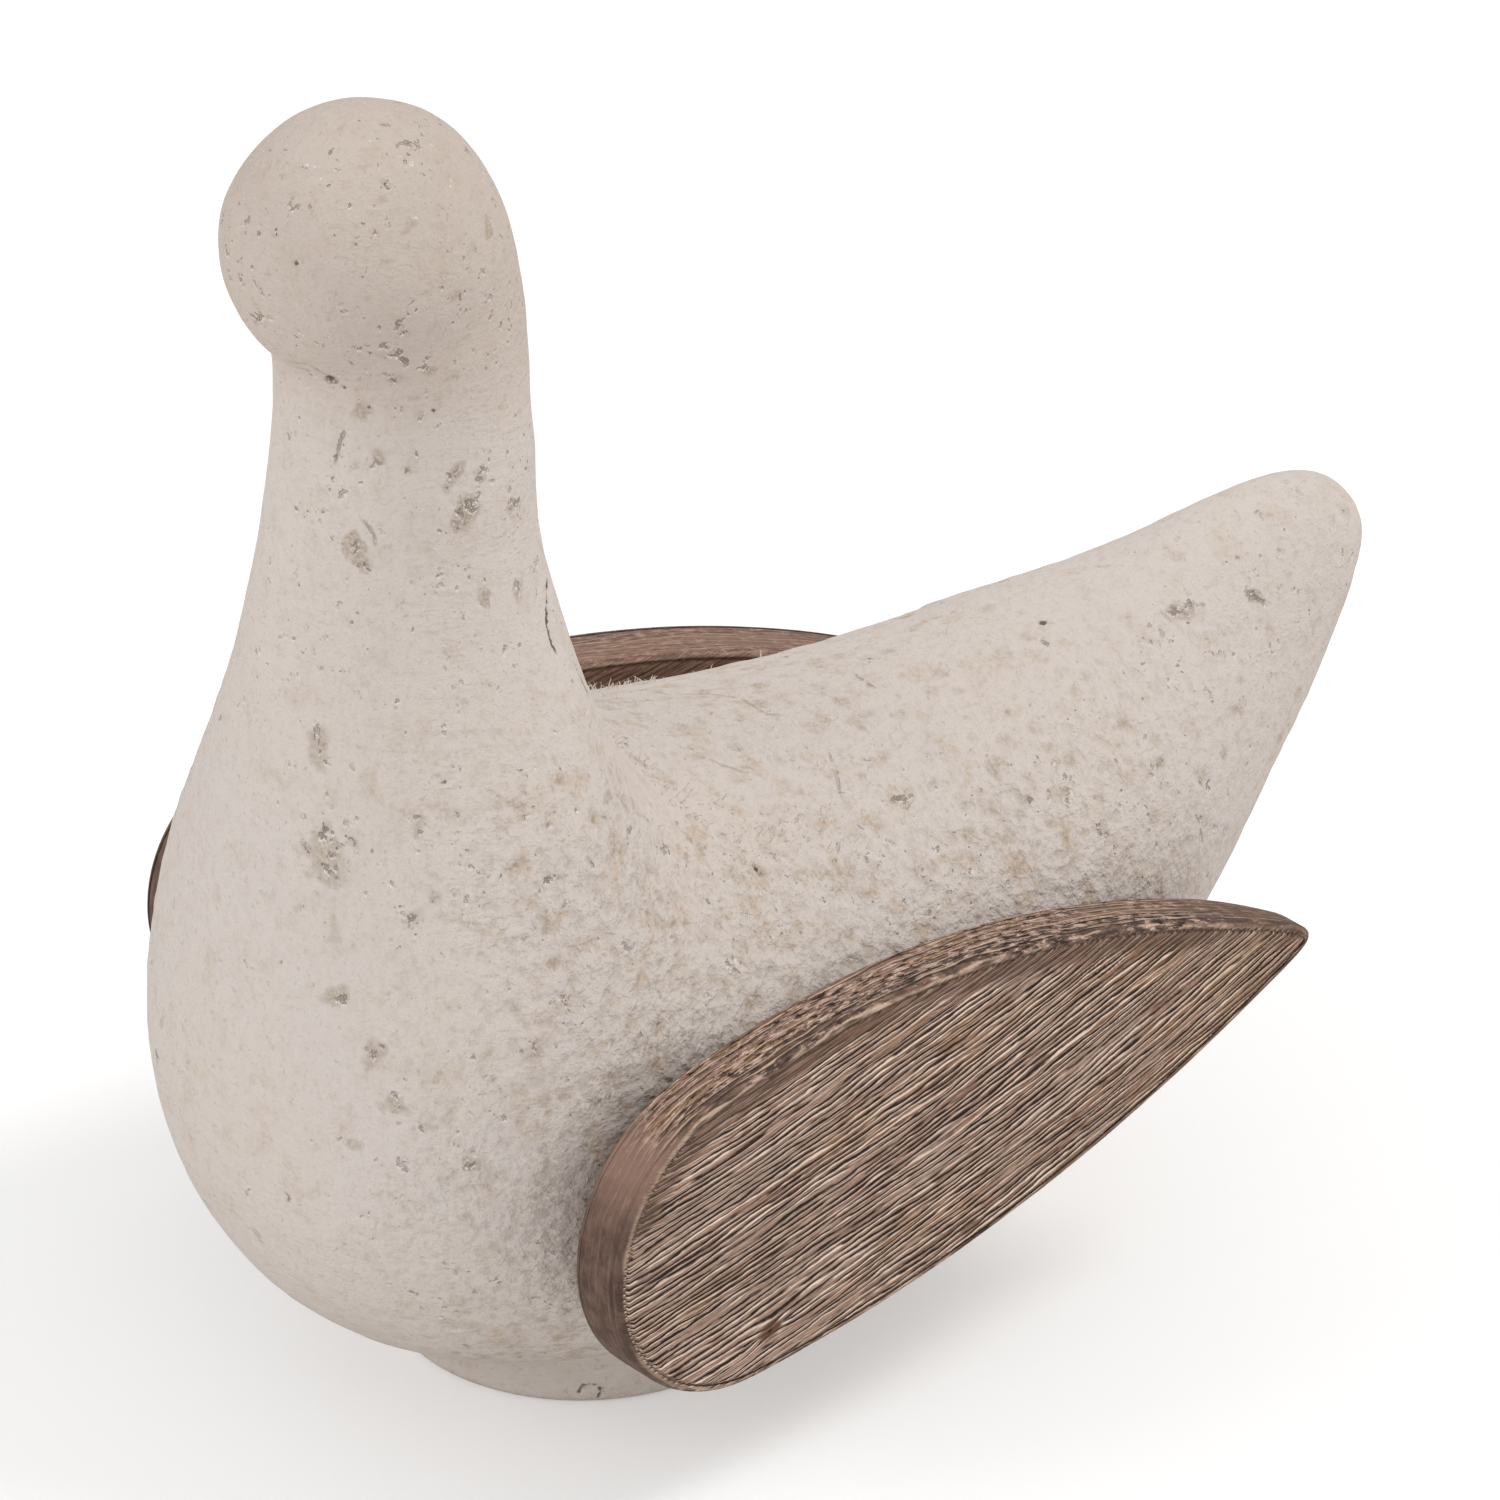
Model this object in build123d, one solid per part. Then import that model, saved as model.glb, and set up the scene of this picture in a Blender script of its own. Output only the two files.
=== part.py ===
from build123d import *
import os
from math import cos, radians, sin

# A sitting bird figure: a hollow body of chalky pulp moulded in two halves, a
# foot disc that closes it below, and two wooden wings pegged to its flanks.
# Millimetres and degrees. The bird looks along -Y and its left side is +X. It
# stands on the XY plane with the centre of its foot at the origin.

# Body: oval sections from the end of the tail to the top of the neck. Each row
# has the point on the bird's upper line (tail, saddle, nape), the point on its
# lower line (tail, belly, breast, throat) and the half width. A point is its
# distance in front of the foot's centre and its height.
body_sections = [
    ((-136.5, 88.0), (-135.5, 80.5), 3.5),   # end of the tail
    ((-134.0, 92.0), (-132.0, 75.0), 7.0),   # tail
    ((-126.0, 95.5), (-127.0, 63.5), 10.0),  # tail
    ((-105.0, 93.0), (-118.0, 51.0), 15.5),  # root of the tail
    ((-80.0, 89.0), (-99.0, 33.0), 26.5),    # rump
    ((-47.0, 86.0), (-57.0, 16.0), 40.5),    # back and belly
    ((-12.5, 90.0), (-3.0, 1.5), 50.5),      # over the foot
    ((1.0, 99.0), (42.5, 12.5), 47.0),       # saddle and breast
    ((6.0, 111.5), (60.5, 37.0), 43.0),      # front of the breast
    ((9.5, 127.0), (57.0, 86.0), 30.0),      # root of the neck
    ((10.5, 140.0), (49.0, 129.0), 20.0),    # neck
    ((10.5, 155.0), (46.0, 152.5), 18.0),    # neck
    ((11.0, 172.0), (45.5, 174.0), 17.0),    # nape
    ((14.0, 186.0), (42.0, 187.0), 13.5),    # inside the head
]

# Head: an ellipsoid of revolution, its long axis tipped up at the front
head_front = 33.3
head_height = 180.5
head_long_radius = 20.5
head_short_radius = 19.5
head_tip_angle = 28.0

# Shell: its wall thins in the tail, to at most half of each section's half width
wall = 7.0
solid_tail = 9.0         # the room inside starts at the first section this far from the tail's end

# Foot disc: a low round foot with a spigot that enters the body's opening
foot_radius = 28.0
foot_height = 8.5
foot_rounding = 1.0
spigot_radius = 21.0
spigot_height = 9.0
foot_clearance = 0.2

# Wings: flat boards that stand beside the body and toe in towards the tail.
# Their outline is measured backwards from above the foot's centre, and upwards.
wing_thickness = 9.5
wing_toe_angle = 6.4
wing_seat = 47.0         # from the middle plane to the wing's inner face
nose_back = -12.0        # centre of the round front end
nose_height = 44.8
nose_radius = 24.2
nose_top_angle = 76.0    # where the upper edge leaves the round end
nose_low_angle = 92.0    # where the lower edge leaves it
tip_back = 96.0
tip_height = 49.6
tip_rounding = 1.5
wing_edge_rounding = 0.8
right_wing_lift = 3.0    # the right wing sits a little higher

# Dowels: two in each wing, glued into bosses inside the shell
dowel_radius = 3.0
dowel_length = 18.0
dowel_chamfer = 0.6
dowel_in_wing = 5.5
dowel_clearance = 0.1
dowel_end_gap = 0.4
dowel_height = 46.0
front_dowel_back = -10.0
rear_dowel_back = 12.0
boss_wall = 5.0
boss_floor = 4.0

far = 400.0              # longer than the object, for cutting away
quarter_lean = 0.5523    # makes a cubic curve follow a quarter of an ellipse


def half_space(side):
    """All that lies on the left or the right of the middle plane."""
    sign = 1 if side == "left" else -1
    return Pos(sign * far / 2, 0, 0) * Box(far, 2 * far, 2 * far)


def half_section(row, inset):
    """The left half of one oval, shrunk all round by the inset."""
    upper, lower, half_width = row
    top = Vector(0, -upper[0], upper[1])
    low = Vector(0, -lower[0], lower[1])
    rise = top - low
    across = Vector(1, 0, 0)
    plane = Plane(origin=(top + low) / 2, x_dir=across, z_dir=across.cross(rise))
    inset = min(inset, half_width / 2)
    height = rise.length / 2 - inset
    width = half_width - inset
    lean = quarter_lean
    belly = Bezier((0, -height), (lean * width, -height), (width, -lean * height), (width, 0))
    back = Bezier((width, 0), (width, lean * height), (lean * width, height), (0, height))
    return plane * make_face([belly, back, Line((0, height), (0, -height))])


def trunk(inset=0.0, start=0.0):
    """Tail, body and neck, from a distance ahead of the tail's end, shrunk all round by the inset."""
    tail_end = body_sections[0][0][0]
    rows = [row for row in body_sections if row[0][0] >= tail_end + start]
    left = loft([half_section(row, inset) for row in rows])
    return left + mirror(left, about=Plane.YZ)


def head(inset=0.0):
    """The head, shrunk all round by the inset."""
    long_radius = head_long_radius - inset
    short_radius = head_short_radius - inset
    bow = EllipticalCenterArc((0, 0), long_radius, short_radius, start_angle=0, arc_size=180)
    chord = Line((-long_radius, 0), (long_radius, 0))
    ball = revolve(make_face([bow, chord]), Axis.X)
    facing = Rot(0, 0, -90) * Rot(0, -head_tip_angle, 0)
    return Pos(0, -head_front, head_height) * facing * ball


def wing_plane():
    """The left wing's inner face: x runs back, y runs up and z runs outwards."""
    turn = radians(wing_toe_angle)
    outwards = (cos(turn), sin(turn), 0)
    backwards = (-sin(turn), cos(turn), 0)
    return Plane(origin=(wing_seat, 0, 0), x_dir=backwards, z_dir=outwards)


def nose_point(angle):
    """A point on the wing's round front end, at an angle up from straight ahead."""
    turn = radians(angle)
    return Vector(nose_back - nose_radius * cos(turn), nose_height + nose_radius * sin(turn))


def wing_board():
    """The left wing without its dowel holes, lying on its own plane."""
    high = radians(nose_top_angle)
    deep = radians(nose_low_angle)
    top = nose_point(nose_top_angle)
    low = nose_point(-nose_low_angle)
    tip = Vector(tip_back, tip_height)
    upper_edge = TangentArc(top, tip, tangent=(sin(high), cos(high)))
    lower_edge = TangentArc(low, tip, tangent=(sin(deep), -cos(deep)))
    nose = ThreePointArc(low, nose_point(0), top)
    outline = make_face([upper_edge, lower_edge, nose])
    outline = fillet(outline.vertices().sort_by(Axis.X)[-1], tip_rounding)
    board = extrude(outline, wing_thickness)
    rims = board.faces().filter_by(Axis.Z).edges()
    return fillet(rims, wing_edge_rounding)


def peg(back, radius, deepest, highest):
    """A round along the wing's normal, from one depth to another."""
    length = highest - deepest
    return Pos(back, dowel_height, (deepest + highest) / 2) * Cylinder(radius, length)


dowel_backs = {"front": front_dowel_back, "rear": rear_dowel_back}
dowel_foot = dowel_in_wing - dowel_length
hole_radius = dowel_radius + dowel_clearance
hole_foot = dowel_foot - dowel_end_gap
hole_top = dowel_in_wing + dowel_end_gap
boss_radius = hole_radius + boss_wall
boss_foot = hole_foot - boss_floor


def dowel(back):
    """One dowel in the wing's own frame."""
    rod = peg(back, dowel_radius, dowel_foot, dowel_in_wing)
    return chamfer(rod.faces().filter_by(Axis.Z).edges(), dowel_chamfer)


def dowel_holes():
    """Both dowel holes of a wing, through the joint from end to end."""
    return Part() + [peg(back, hole_radius, hole_foot, hole_top) for back in dowel_backs.values()]


def bosses():
    """The thick places inside the shell that hold a wing's dowels."""
    return Part() + [peg(back, boss_radius, boss_foot, 0) for back in dowel_backs.values()]


def outer_side():
    """All that lies beyond the wing's inner face."""
    return Pos(0, 0, far / 2) * Box(2 * far, 2 * far, far)


def on_side(shape, side):
    """A shape from the wing's own frame, put on the left or the right of the bird."""
    placed = wing_plane() * shape
    if side == "left":
        return placed
    return Pos(0, 0, right_wing_lift) * mirror(placed, about=Plane.YZ)


def foot_disc():
    """The foot with its spigot."""
    disc = Cylinder(foot_radius, foot_height, align=(Align.CENTER, Align.CENTER, Align.MIN))
    disc = fillet(disc.faces().sort_by(Axis.Z)[0].edges(), foot_rounding)
    spigot = Cylinder(spigot_radius, spigot_height, align=(Align.CENTER, Align.CENTER, Align.MIN))
    return disc + Pos(0, 0, foot_height) * spigot


def foot_room():
    """The seat and the opening that the foot disc enters from below."""
    below = (Align.CENTER, Align.CENTER, Align.MAX)
    seat = Pos(0, 0, foot_height) * Cylinder(foot_radius + foot_clearance, far, align=below)
    reach = foot_height + spigot_height + foot_clearance
    opening = Pos(0, 0, reach) * Cylinder(spigot_radius + foot_clearance, far, align=below)
    return seat + opening


def body_shell():
    """The hollow body, with flat seats, bosses and holes for the wings."""
    outside = trunk() + head()
    for side in ("left", "right"):
        outside -= on_side(outer_side(), side)
    shell = outside - (trunk(wall, solid_tail) + head(wall))
    for side in ("left", "right"):
        shell += on_side(bosses(), side) & outside
        shell -= on_side(dowel_holes(), side)
    return shell - foot_room()


shell = body_shell()
nodes = {"foot_disc": foot_disc()}
board = wing_board() - dowel_holes()
for side in ("left", "right"):
    nodes[f"body_{side}_half"] = shell & half_space(side)
    nodes[f"{side}_wing"] = on_side(board, side)
    for place, back in dowel_backs.items():
        nodes[f"{side}_wing_{place}_dowel"] = on_side(dowel(back), side)

os.makedirs("parts", exist_ok=True)
for name, shape in nodes.items():
    export_step(shape, f"parts/{name}.step")
    box = shape.bounding_box()
    print(name, "volume", round(shape.volume), "size", [round(v, 1) for v in box.size])
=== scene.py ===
# %% [markdown]
# # A sitting bird of chalky pulp and weathered wood
# The bird is a table ornament: a hollow body of paper pulp under a coat of chalk, a low round
# foot, and two flat wings of wire-brushed wood. The CAD solids give each piece its exact place,
# so this lesson loads them as a frame first and then dresses them piece by piece.

# %% Load the frame
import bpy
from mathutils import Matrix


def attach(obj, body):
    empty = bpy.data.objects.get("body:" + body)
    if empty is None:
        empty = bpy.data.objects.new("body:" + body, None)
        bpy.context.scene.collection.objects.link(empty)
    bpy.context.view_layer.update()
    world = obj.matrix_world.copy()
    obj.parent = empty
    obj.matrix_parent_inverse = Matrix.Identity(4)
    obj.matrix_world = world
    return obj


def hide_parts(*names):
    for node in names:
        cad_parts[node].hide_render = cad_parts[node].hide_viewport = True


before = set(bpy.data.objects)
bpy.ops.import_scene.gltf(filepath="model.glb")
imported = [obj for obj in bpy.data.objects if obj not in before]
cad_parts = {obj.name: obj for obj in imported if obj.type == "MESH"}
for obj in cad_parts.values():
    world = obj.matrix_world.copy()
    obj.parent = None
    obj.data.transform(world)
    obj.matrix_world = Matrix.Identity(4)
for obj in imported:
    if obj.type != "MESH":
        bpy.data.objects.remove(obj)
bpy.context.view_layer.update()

import math
import random
from types import SimpleNamespace

import bmesh
import bpy
import numpy as np
from mathutils import Matrix, Vector, geometry, kdtree, noise
from mathutils.bvhtree import BVHTree

mm = 0.001


def new_object(name, data):
    """A new object in the scene that shows a mesh, a camera or a lamp."""
    made = bpy.data.objects.new(name, data)
    bpy.context.scene.collection.objects.link(made)
    return made


print("solids:", ", ".join(sorted(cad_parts)))

# %% [markdown]
# ## Camera
# The picture was taken from the bird's front left and well above the table, with a long lens, so
# that its lines hardly converge. The angles and the distance come from fitting the outline. Once
# the camera stands, any point of the picture is a ray into the scene, and that ray is used later
# to put each pit and crack where it belongs on the surface.

# %% Place the camera
picture_side = 1500
azimuth = math.radians(55)
elevation = math.radians(30)
camera_distance = 1.53
target = Vector((0, 29.4, 81.2)) * mm
towards_camera = Vector((math.sin(azimuth) * math.cos(elevation),
                         -math.cos(azimuth) * math.cos(elevation),
                         math.sin(elevation)))
camera_data = bpy.data.cameras.new("camera")
camera_data.sensor_width = 36
camera_data.lens = 259.2
camera = new_object("camera", camera_data)
camera.location = target + towards_camera * camera_distance
camera.rotation_euler = towards_camera.to_track_quat("Z", "Y").to_euler()
bpy.context.scene.camera = camera
bpy.context.view_layer.update()


def ray_through(across, down):
    """The direction from the camera through a point of the picture."""
    side = camera_data.sensor_width / camera_data.lens
    local = Vector(((across / picture_side - 0.5) * side, (0.5 - down / picture_side) * side, -1))
    return (camera.matrix_world.to_3x3() @ local).normalized()


print("camera at", [round(v, 4) for v in camera.location])

# %% [markdown]
# ## Shader sums
# A finish is easier to read as sums and products than as a web of nodes. This small class wraps
# one socket: adding or multiplying wrapped sockets adds the Math nodes. Every other node comes
# from its make method, which sets the node's own settings first and then its sockets.


# %% A socket that works like a number
class Wire:
    """One output socket of a material's nodes."""

    def __init__(self, tree, socket=None):
        self.tree = tree
        self.socket = socket

    def make(self, kind, settings, sockets, output=0):
        made = self.tree.nodes.new(kind)
        for name, value in settings.items():
            setattr(made, name, value)
        for name, value in sockets.items():
            if isinstance(value, Wire):
                self.tree.links.new(value.socket, made.inputs[name])
            else:
                made.inputs[name].default_value = value
        return Wire(self.tree, made.outputs[output])

    def math(self, operation, first, second):
        return self.make("ShaderNodeMath", {"operation": operation}, {0: first, 1: second})

    def __add__(self, other):
        return self.math("ADD", self, other)

    def __radd__(self, other):
        return self.math("ADD", other, self)

    def __sub__(self, other):
        return self.math("SUBTRACT", self, other)

    def __rsub__(self, other):
        return self.math("SUBTRACT", other, self)

    def __mul__(self, other):
        return self.math("MULTIPLY", self, other)

    def __rmul__(self, other):
        return self.math("MULTIPLY", other, self)

    def size(self):
        return self.math("ABSOLUTE", self, 0.0)

    def floor(self):
        return self.math("FLOOR", self, 0.0)

    def rise(self, low, high):
        """0 below low and 1 above high, with a soft step between. It falls if high is lower."""
        return self.make("ShaderNodeMapRange", {"interpolation_type": "SMOOTHSTEP"},
                         {"Value": self, "From Min": low, "From Max": high})

    def held(self, name, output="Fac"):
        """What the mesh holds at each of its points under this name."""
        return self.make("ShaderNodeAttribute", {"attribute_name": name}, {}, output)

    def cloud(self, place, pitch, detail=2.0, rough=0.5):
        """Soft noise from 0 to 1 whose lumps are about one pitch across."""
        return self.make("ShaderNodeTexNoise", {},
                         {"Vector": place, "Scale": 1 / pitch, "Detail": detail, "Roughness": rough})

    def place_at(self, along, across, through):
        """A place put together from three numbers."""
        return self.make("ShaderNodeCombineXYZ", {}, {"X": along, "Y": across, "Z": through})

    def part(self, place, axis):
        return self.make("ShaderNodeSeparateXYZ", {}, {0: place}, axis)

    def moved(self, place, offset):
        return self.make("ShaderNodeVectorMath", {"operation": "ADD"}, {0: place, 1: offset})

    def stretched(self, place, factors):
        return self.make("ShaderNodeVectorMath", {"operation": "MULTIPLY"}, {0: place, 1: factors})

    def streaks(self, place, along, across, detail=2.0, rough=0.5):
        """Noise drawn out along the first axis: how often it changes along it and across it."""
        return self.cloud(self.stretched(place, (along, across, across)), 1.0, detail, rough)

    def mixed(self, factor, under, over):
        """The colour under, covered by the colour over where the factor is 1."""
        return self.make("ShaderNodeMix", {"data_type": "RGBA"}, {0: factor, 6: under, 7: over}, 2)

    def painted(self, mask, red, green, blue):
        """This colour, painted over with another where the mask is 1."""
        return self.mixed(mask, self, colour(red, green, blue))


def colour(red, green, blue):
    """A colour as a screen shows it, from 0 to 255, in the linear values that Blender uses."""
    parts = [v / 255 for v in (red, green, blue)]
    return [v / 12.92 if v < 0.04045 else ((v + 0.055) / 1.055) ** 2.4 for v in parts] + [1]


def new_finish(name):
    """An empty material, the wire that adds nodes to it, and its shader."""
    finish = bpy.data.materials.new(name)
    finish.use_nodes = True
    shader = finish.node_tree.nodes["Principled BSDF"]
    return finish, Wire(finish.node_tree), shader


def feed(wire, shader, socket):
    wire.tree.links.new(wire.socket, shader.inputs[socket])


def same_all_over(shader, rough, shine=0.5):
    """Sets how rough a finish is and how much it mirrors."""
    shader.inputs["Roughness"].default_value = rough
    shader.inputs["Specular IOR Level"].default_value = shine


print("middle grey is", round(colour(128, 128, 128)[0], 3), "in linear values")

# %% [markdown]
# ## Body skin
# The real body was pressed in a mould, glued along its middle and coated with chalk, so no seam
# shows except where it cracked. The skin starts as copies of the two CAD halves: the faces on the
# middle plane and the walls of the hollow go, the hole for the foot is closed, and a voxel remesh
# turns what is left into even, fine quads. Even quads are what the next step needs, because it
# moves every single point.

# %% Copy the outside of the body
opening_radius = 21.2 * mm


def outside_of_body():
    """The two halves joined, without their hollow, as a closed bmesh."""
    skin = bmesh.new()
    for side in ("left", "right"):
        skin.from_mesh(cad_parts[f"body_{side}_half"].data)
    seam = [f for f in skin.faces if all(abs(v.co.x) < 2e-6 for v in f.verts)]
    bmesh.ops.delete(skin, geom=seam, context="FACES")
    bmesh.ops.remove_doubles(skin, verts=skin.verts, dist=2e-6)
    opening = [f for f in skin.faces
               if all(abs(v.co.xy.length - opening_radius) < 2e-5 and v.co.z < 0.02 for v in f.verts)]
    bmesh.ops.delete(skin, geom=opening, context="FACES")
    reached = {max(skin.verts, key=lambda v: v.co.z)}
    edge_of_walk = list(reached)
    while edge_of_walk:
        here = edge_of_walk.pop()
        for edge in here.link_edges:
            there = edge.other_vert(here)
            if there not in reached:
                reached.add(there)
                edge_of_walk.append(there)
    bmesh.ops.delete(skin, geom=[v for v in skin.verts if v not in reached], context="VERTS")
    bmesh.ops.holes_fill(skin, edges=[e for e in skin.edges if e.is_boundary], sides=0)
    return skin


def remeshed(shape, voxel, name):
    """A new object: the closed bmesh as even quads of one voxel."""
    rough_mesh = bpy.data.meshes.new(name + "_rough")
    shape.to_mesh(rough_mesh)
    shape.free()
    rough = new_object(name + "_rough", rough_mesh)
    remesh = rough.modifiers.new("even quads", "REMESH")
    remesh.mode = "VOXEL"
    remesh.voxel_size = voxel
    view = bpy.context.evaluated_depsgraph_get()
    mesh = bpy.data.meshes.new_from_object(rough.evaluated_get(view))
    mesh.name = name
    bpy.data.objects.remove(rough)
    bpy.data.meshes.remove(rough_mesh)
    return new_object(name, mesh)


voxel = 0.75 * mm
body = remeshed(outside_of_body(), voxel, "body_skin")
body_mesh = body.data
print("body skin:", len(body_mesh.vertices), "points")

# %% [markdown]
# ## Lumps, dimples, cracks and pits
# Pulp dries lumpy. The flanks are rough like orange peel and full of dimples, while the breast,
# the neck and the head were rubbed smoother. Where the chalk flaked off, patches of bare pulp
# show, and two cracks run down the nape where the halves meet. An artist could paint all of this
# as bump, but here it moves the points themselves, so it shows in the outline and from every side.
# Each point also remembers how bare or how cracked it is, and the finish reads that later.


# %% Read points and normals
def read_points(mesh, name):
    values = np.empty(len(mesh.vertices) * 3, np.float32)
    mesh.vertices.foreach_get(name, values)
    return values.reshape(-1, 3).astype(float)


def ease(values, low, high):
    """0 at low and 1 at high, with a soft step between."""
    t = np.clip((values - low) / (high - low), 0, 1)
    return t * t * (3 - 2 * t)


def fractal(points, pitch, octaves, shift=0.0):
    """Noise of about -1 to 1 whose largest lumps are one pitch across."""
    offset = Vector((shift, 2 * shift, 3 * shift))
    return np.array([noise.fractal(Vector(p) / pitch + offset, 1.0, 2.0, octaves) for p in points])


def evened(places, edges, weight, rounds):
    """Points moved towards the middle of their neighbours, as far as their weight says."""
    first, second = edges.T
    count = len(places)
    neighbours = np.bincount(edges.ravel(), minlength=count)[:, None]
    for _ in range(rounds):
        sums = [np.bincount(first, places[second, axis], count)
                + np.bincount(second, places[first, axis], count) for axis in range(3)]
        places = places + weight[:, None] * (np.stack(sums, axis=1) / neighbours - places)
    return places


edges = np.empty(len(body_mesh.edges) * 2, np.int32)
body_mesh.edges.foreach_get("vertices", edges)
edges = edges.reshape(-1, 2)
points = evened(read_points(body_mesh, "co"), edges, np.full(len(body_mesh.vertices), 0.5), 3)
nape = ease(points[:, 1], -50 * mm, -38 * mm) * ease(points[:, 2], 146 * mm, 160 * mm)
nape *= ease(-points[:, 2], -197 * mm, -188 * mm)
nape_rounds = 110
points = evened(points, edges, 0.9 * nape, nape_rounds)
body_mesh.vertices.foreach_set("co", points.astype(np.float32).ravel())
body_mesh.update()
normals = read_points(body_mesh, "normal")
print("smoothed round the nape:", int((nape > 0.5).sum()), "points")

# %% Lumps
# The borders between rough and rubbed parts drift to and fro, so that none of them is straight.
drifting = fractal(points, 22 * mm, 2, 7.0)
sideways = ease(np.abs(normals[:, 0]) + 0.15 * drifting, 0.3, 0.8)
flank = sideways * ease(points[:, 1] + 8 * mm * drifting, -62 * mm, -38 * mm)
flank *= 1 - 0.75 * ease(points[:, 1], 55 * mm, 105 * mm)
neck_and_head = ease(points[:, 2], 92 * mm, 126 * mm) * ease(-points[:, 1], -30 * mm, -8 * mm)
peel = 0.2 + 0.8 * flank * (1 - neck_and_head)
handled = ease(points[:, 1] + 6 * mm * drifting, -52 * mm, -20 * mm) * (1 - neck_and_head)
handled *= (1 - 0.85 * ease(points[:, 1], 45 * mm, 95 * mm)) * (0.6 + 0.4 * sideways)
swell = 0.2 * mm * fractal(points, 14 * mm, 2, 1.0)
orange_peel = 0.26 * mm * peel * fractal(points, 2.6 * mm, 1, 3.0)
lift = swell + orange_peel
print("rough share of the skin:", round(float(peel.mean()), 2))


# %% Find marks on the surface
def tree_of(mesh):
    """A search tree that tells where a ray meets the mesh."""
    corners = [vertex.co for vertex in mesh.vertices]
    return BVHTree.FromPolygons(corners, [list(face.vertices) for face in mesh.polygons])


body_tree = tree_of(body_mesh)
point_finder = kdtree.KDTree(len(points))
for number, place in enumerate(points):
    point_finder.insert(place, number)
point_finder.balance()


def on_body(across, down):
    """The point of the skin seen at a point of the picture, and its normal."""
    place, normal, _, _ = body_tree.ray_cast(camera.location, ray_through(across, down))
    return place, normal


print("middle of the breast at", [round(v / mm, 1) for v in on_body(400, 900)[0]], "mm")

# %% Bare patches
# Each row is a patch where the chalk is gone: picture place, half length, half width in mm, turn
# in degrees from level, and how bare it is.
bare_patches = [
    (331, 380, 1.0, 0.7, 60, 1.0),
    (306, 370, 0.8, 0.4, 20, 0.7),
    (362, 412, 1.7, 1.1, 40, 0.8),
    (394, 378, 1.3, 0.8, 10, 0.7),
    (428, 371, 1.0, 0.9, 0, 0.6),
    (450, 379, 1.3, 0.8, 0, 0.6),
    (380, 455, 1.5, 1.2, 30, 0.6),
    (408, 471, 0.6, 0.6, 0, 0.8),
    (355, 467, 1.2, 0.7, 60, 0.5),
    (466, 512, 2.6, 1.7, 70, 0.9),
    (455, 476, 2.6, 0.9, 58, 0.7),
    (481, 475, 1.2, 1.1, 0, 0.6),
    (514, 506, 1.5, 1.0, 0, 0.8),
    (356, 550, 3.2, 1.3, -60, 0.9),
    (484, 598, 1.7, 0.9, -60, 0.8),
    (520, 588, 2.4, 1.2, 80, 0.5),
    (489, 229, 0.9, 1.4, 0, 0.7),
    (456, 296, 1.4, 0.8, 20, 0.6),
    (257, 320, 1.5, 1.1, 45, 0.6),
    (387, 237, 0.8, 0.6, 0, 0.4),
    (363, 167, 1.7, 0.5, 10, 0.5),
    (386, 184, 0.9, 0.6, -30, 0.6),
    (381, 201, 1.2, 0.7, 0, 0.45),
    (408, 228, 2.0, 0.7, 40, 0.55),
    (471, 247, 0.9, 0.7, 0, 0.6),
    (384, 264, 1.3, 0.6, 20, 0.5),
    (424, 294, 1.2, 0.6, 0, 0.45),
    (433, 327, 1.8, 1.1, 30, 0.4),
    (370, 299, 1.2, 0.6, 10, 0.35),
    (405, 358, 0.8, 0.6, 60, 0.6),
    (415, 399, 1.3, 0.5, 0, 0.5),
    (471, 153, 1.2, 0.7, -30, 0.45),
    (325, 858, 5.2, 3.8, 80, 0.6),
    (322, 745, 3.2, 2.2, 80, 0.55),
    (301, 907, 1.4, 0.8, 20, 0.5),
    (333, 930, 2.6, 0.8, 80, 0.4),
    (414, 918, 1.3, 0.9, 30, 0.6),
    (417, 827, 1.6, 1.0, 60, 0.45),
    (354, 1144, 1.4, 1.0, 0, 0.6),
    (396, 988, 0.9, 0.6, 0, 0.5),
    (561, 1006, 1.6, 1.2, 20, 0.5),
    (537, 1052, 1.6, 1.4, 0, 0.5),
    (491, 1080, 1.3, 1.0, 0, 0.5),
    (544, 1101, 1.5, 1.2, 0, 0.45),
    (336, 995, 2.0, 1.4, 30, 0.7),
    (395, 1105, 2.2, 1.4, 0, 0.6),
    (470, 1165, 1.5, 1.0, 10, 0.7),
    (373, 1055, 2.8, 1.6, 60, 0.6),
    (900, 800, 1.6, 1.0, 0, 0.5),
    (1178, 612, 2.8, 1.6, 35, 0.7),
    (1254, 597, 1.3, 1.0, 0, 0.8),
    (1148, 640, 1.4, 0.8, 0, 0.5),
    (1042, 622, 0.7, 0.5, 30, 1.0),
    (757, 868, 1.0, 0.6, -20, 0.7),
    (862, 728, 1.4, 0.7, -40, 0.6),
    (640, 760, 2.2, 0.8, -55, 0.5),
    (560, 880, 1.6, 1.2, 20, 0.35),
    (905, 925, 1.4, 0.9, 0, 0.4),
]
bare = np.zeros(len(points))


def bare_patch(place, normal, long_way, half_length, half_width, strength):
    """Marks the points of one patch, fading outwards, with an uneven edge."""
    short_way = normal.cross(long_way)
    for _, number, _ in point_finder.find_range(place, 1.9 * half_length):
        offset = Vector(points[number]) - place
        reach = math.hypot(offset.dot(long_way) / half_length, offset.dot(short_way) / half_width)
        uneven = noise.noise(Vector(points[number]) / (1.5 * mm))
        cover = min(max(1.35 - reach + 0.7 * uneven, 0), 1)
        bare[number] = max(bare[number], strength * cover)


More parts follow.
